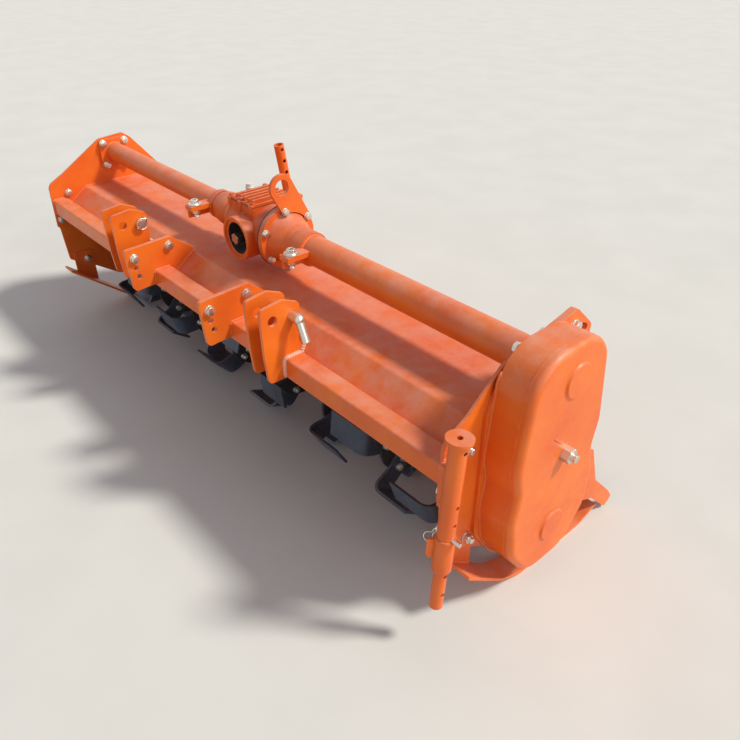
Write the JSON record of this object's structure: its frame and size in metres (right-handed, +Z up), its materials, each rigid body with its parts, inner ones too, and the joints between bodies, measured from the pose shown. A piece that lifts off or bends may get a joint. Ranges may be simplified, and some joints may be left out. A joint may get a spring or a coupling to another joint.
{
  "type": "rotavator",
  "caption": "Three-point rotavator with a side gear drive, square front beam, cross tubes, tined rotor, hinged rear board and parking stand.",
  "frame": {"origin": "bottom centre of the overall box, on the floor under the machine", "axes": "+X across the machine to the gear case side, +Y to the rear, away from the tractor, +Z up"},
  "size_m": [2.329, 0.8514, 0.846],
  "materials": {
    "orange_paint": "satin",
    "zinc_steel": "satin",
    "machined_steel": "oiled",
    "black_paint": "satin",
    "tine_steel": "matte",
    "white_cap": "matte"
  },
  "bodies": {
    "frame": {"left_side_plate": "orange_paint", "right_side_plate": "orange_paint", "case_mount_plate": "orange_paint", "gear_case": "orange_paint", "gear_case_cover": "orange_paint", "idler_nut": "zinc_steel", "front_beam": "orange_paint", "hood": "orange_paint", "left_tube": "orange_paint", "right_tube": "orange_paint", "gearbox_housing": "orange_paint", "gearbox_cover": "orange_paint", "breather": "white_cap", "right_bearing_housing": "orange_paint", "left_bearing_housing": "orange_paint", "lever_plate": "orange_paint", "left_link_clevis": "orange_paint", "right_link_clevis": "orange_paint", "left_hitch_pin": "zinc_steel", "right_hitch_pin": "zinc_steel", "left_mast_lug": "orange_paint", "right_mast_lug": "orange_paint", "left_tube_bracket": "orange_paint", "right_tube_bracket": "orange_paint", "left_skid": "orange_paint", "right_skid": "orange_paint", "skid_stay": "orange_paint", "stand_sleeve": "orange_paint", "stand_pin": "zinc_steel", "left_rotor_bearing": "black_paint", "right_rotor_bearing": "black_paint", "hood_hinges": "orange_paint", "hinge_rods": "black_paint", "strut_guide": "orange_paint"},
    "rotor": {"rotor_shaft": "black_paint", "rotor_tines": "tine_steel"},
    "input": {"input_shaft": "machined_steel"},
    "stand": {"stand_leg": "orange_paint"},
    "board": {"rear_board": "orange_paint", "board_hinges": "orange_paint", "board_ears": "orange_paint", "strut_eye_pin": "zinc_steel"},
    "strut": {"board_strut": "orange_paint", "strut_stop_pin": "zinc_steel"}
  },
  "joints": [
    {"name": "rotor_spin", "type": "hinge", "parent": "frame", "child": "rotor", "pos_m": [-0.0145, -0.04252, 0.214], "axis": [1, 0, 0], "continuous": true},
    {"name": "input_spin", "type": "hinge", "parent": "frame", "child": "input", "pos_m": [-0.0505, -0.15552, 0.63], "axis": [0, -1, 0], "continuous": true},
    {"name": "stand_slide", "type": "slide", "parent": "frame", "child": "stand", "axis": [0, 0.0767, 0.9971], "range_m": [-0.118, 0.059]},
    {"name": "board_lift", "type": "hinge", "parent": "frame", "child": "board", "pos_m": [-0.0145, 0.30948, 0.345], "axis": [1, 0, 0], "range_deg": [0, 35]},
    {"name": "strut_swing", "type": "hinge", "parent": "board", "child": "strut", "pos_m": [-0.4545, 0.39191, 0.20843], "axis": [1, 0, 0], "range_deg": [-20.45, 0]}
  ],
  "couplings": [
    {"joint": "input_spin", "follows": "rotor_spin", "ratio": 2.45},
    {"joint": "strut_swing", "follows": "board_lift", "ratio": -0.5838}
  ]
}
